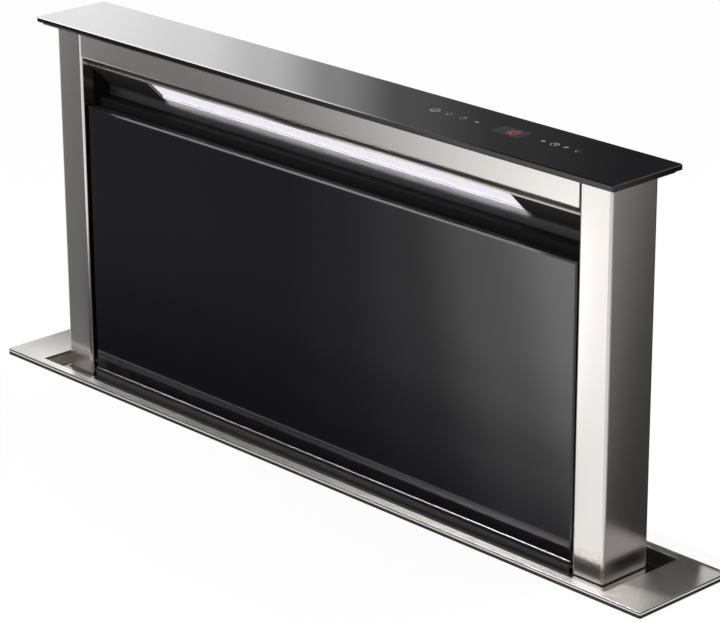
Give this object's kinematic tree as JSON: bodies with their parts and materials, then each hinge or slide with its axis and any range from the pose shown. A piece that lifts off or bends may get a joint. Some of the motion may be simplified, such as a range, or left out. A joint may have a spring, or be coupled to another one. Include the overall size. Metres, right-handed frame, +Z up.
{
  "type": "downdraft vent",
  "caption": "Worktop downdraft vent, raised: glass-topped suction tower in a steel trim over a cabinet housing with lift spindles, blower, outlet collar and control box.",
  "frame": {"origin": "centre of the worktop opening, on the worktop's surface", "axes": "+X to the right seen from the front, +Y to the rear, +Z up"},
  "size_m": [0.9, 0.3388, 0.9905],
  "materials": {
    "brushed_steel": "brushed",
    "trim_steel": "brushed, bright edges",
    "galvanised_steel": "galvanised sheet",
    "black_glass": "gloss",
    "black_rubber": "matte",
    "dark_sheet": "satin",
    "deflector_sheet": "satin",
    "aluminium": "anodised",
    "aluminium_mesh": "expanded mesh",
    "milky_lens": "gloss",
    "circuit_board": "satin",
    "display_plastic": "gloss",
    "ground_steel": "ground",
    "brass": "turned",
    "bearing_plastic": "matte",
    "motor_paint": "satin",
    "black_plastic": "matte",
    "grey_plastic": "matte"
  },
  "bodies": {
    "housing": {"trim_plate": "trim_steel", "worktop_seal": "black_rubber", "ledge_tray": "brushed_steel", "slot_lip": "black_rubber", "housing_front": "galvanised_steel", "housing_back": "galvanised_steel", "housing_right_side": "galvanised_steel", "housing_left_side": "galvanised_steel", "housing_base": "galvanised_steel", "guide_plates": "galvanised_steel", "guide_rods": "ground_steel", "lift_motors": "motor_paint", "end_sensors": "black_plastic", "cabinet_brackets": "galvanised_steel", "blower_box": "galvanised_steel", "blower_cover": "galvanised_steel", "scroll_housing": "grey_plastic", "motor_plate": "galvanised_steel", "inlet_ring": "black_plastic", "fan_motor": "motor_paint", "outlet_collar": "black_plastic", "flap_pin": "ground_steel", "control_box": "galvanised_steel", "control_lid": "galvanised_steel", "power_board": "circuit_board", "cable_gland": "black_plastic", "housing_screws": "ground_steel"},
    "tower": {"glass_top": "black_glass", "top_frame": "dark_sheet", "touch_board": "circuit_board", "display_module": "display_plastic", "right_upright": "brushed_steel", "left_upright": "brushed_steel", "posts": "galvanised_steel", "back_panel": "brushed_steel", "tower_screws": "ground_steel", "top_rail": "brushed_steel", "deflector": "deflector_sheet", "lamp_housing": "aluminium", "lamp_lens": "milky_lens", "led_board": "circuit_board", "filter_channels": "dark_sheet", "lower_front": "dark_sheet", "carriers": "galvanised_steel", "lift_nuts": "brass", "guide_bushes": "bearing_plastic"},
    "front_panel": {"front_glass": "black_glass", "panel_tray": "dark_sheet", "panel_trim": "trim_steel", "hinge_pins": "ground_steel"},
    "left_filter": {"left_filter_frame": "aluminium", "left_filter_mesh": "aluminium_mesh"},
    "right_filter": {"right_filter_frame": "aluminium", "right_filter_mesh": "aluminium_mesh"},
    "right_spindle": {"right_lift_screw": "ground_steel"},
    "left_spindle": {"left_lift_screw": "ground_steel"},
    "fan": {"impeller": "black_plastic", "fan_shaft": "ground_steel"},
    "front_damper": {"front_flap": "grey_plastic"},
    "rear_damper": {"rear_flap": "grey_plastic"}
  },
  "joints": [
    {"name": "tower_lift", "type": "slide", "parent": "housing", "child": "tower", "axis": [0, 0, 1], "range_m": [-0.374, 0]},
    {"name": "right_spindle_turn", "type": "hinge", "parent": "housing", "child": "right_spindle", "pos_m": [0.39775, 0, -0.26], "axis": [0, 0, 1], "range_deg": [0, 6735]},
    {"name": "left_spindle_turn", "type": "hinge", "parent": "housing", "child": "left_spindle", "pos_m": [-0.39775, 0, -0.26], "axis": [0, 0, 1], "range_deg": [0, 6735]},
    {"name": "panel_tilt", "type": "hinge", "parent": "tower", "child": "front_panel", "pos_m": [0, -0.0205, 0.011], "axis": [1, 0, 0], "range_deg": [0, 15]},
    {"name": "left_filter_lift", "type": "slide", "parent": "tower", "child": "left_filter", "axis": [0, 0, 1], "range_m": [0, 0.008]},
    {"name": "right_filter_lift", "type": "slide", "parent": "tower", "child": "right_filter", "axis": [0, 0, 1], "range_m": [0, 0.008]},
    {"name": "fan_turn", "type": "hinge", "parent": "housing", "child": "fan", "pos_m": [0, 0.12, -0.43], "axis": [0, 1, 0], "continuous": true},
    {"name": "front_damper_swing", "type": "hinge", "parent": "housing", "child": "front_damper", "pos_m": [0.202, 0.137, -0.3495], "axis": [0, 0, 1], "range_deg": [0, 75]},
    {"name": "rear_damper_swing", "type": "hinge", "parent": "housing", "child": "rear_damper", "pos_m": [0.202, 0.137, -0.3495], "axis": [0, 0, -1], "range_deg": [0, 75]}
  ],
  "couplings": [
    {"joint": "right_spindle_turn", "follows": "tower_lift", "rad_per_m": -314.16},
    {"joint": "left_spindle_turn", "follows": "tower_lift", "rad_per_m": -314.16}
  ]
}
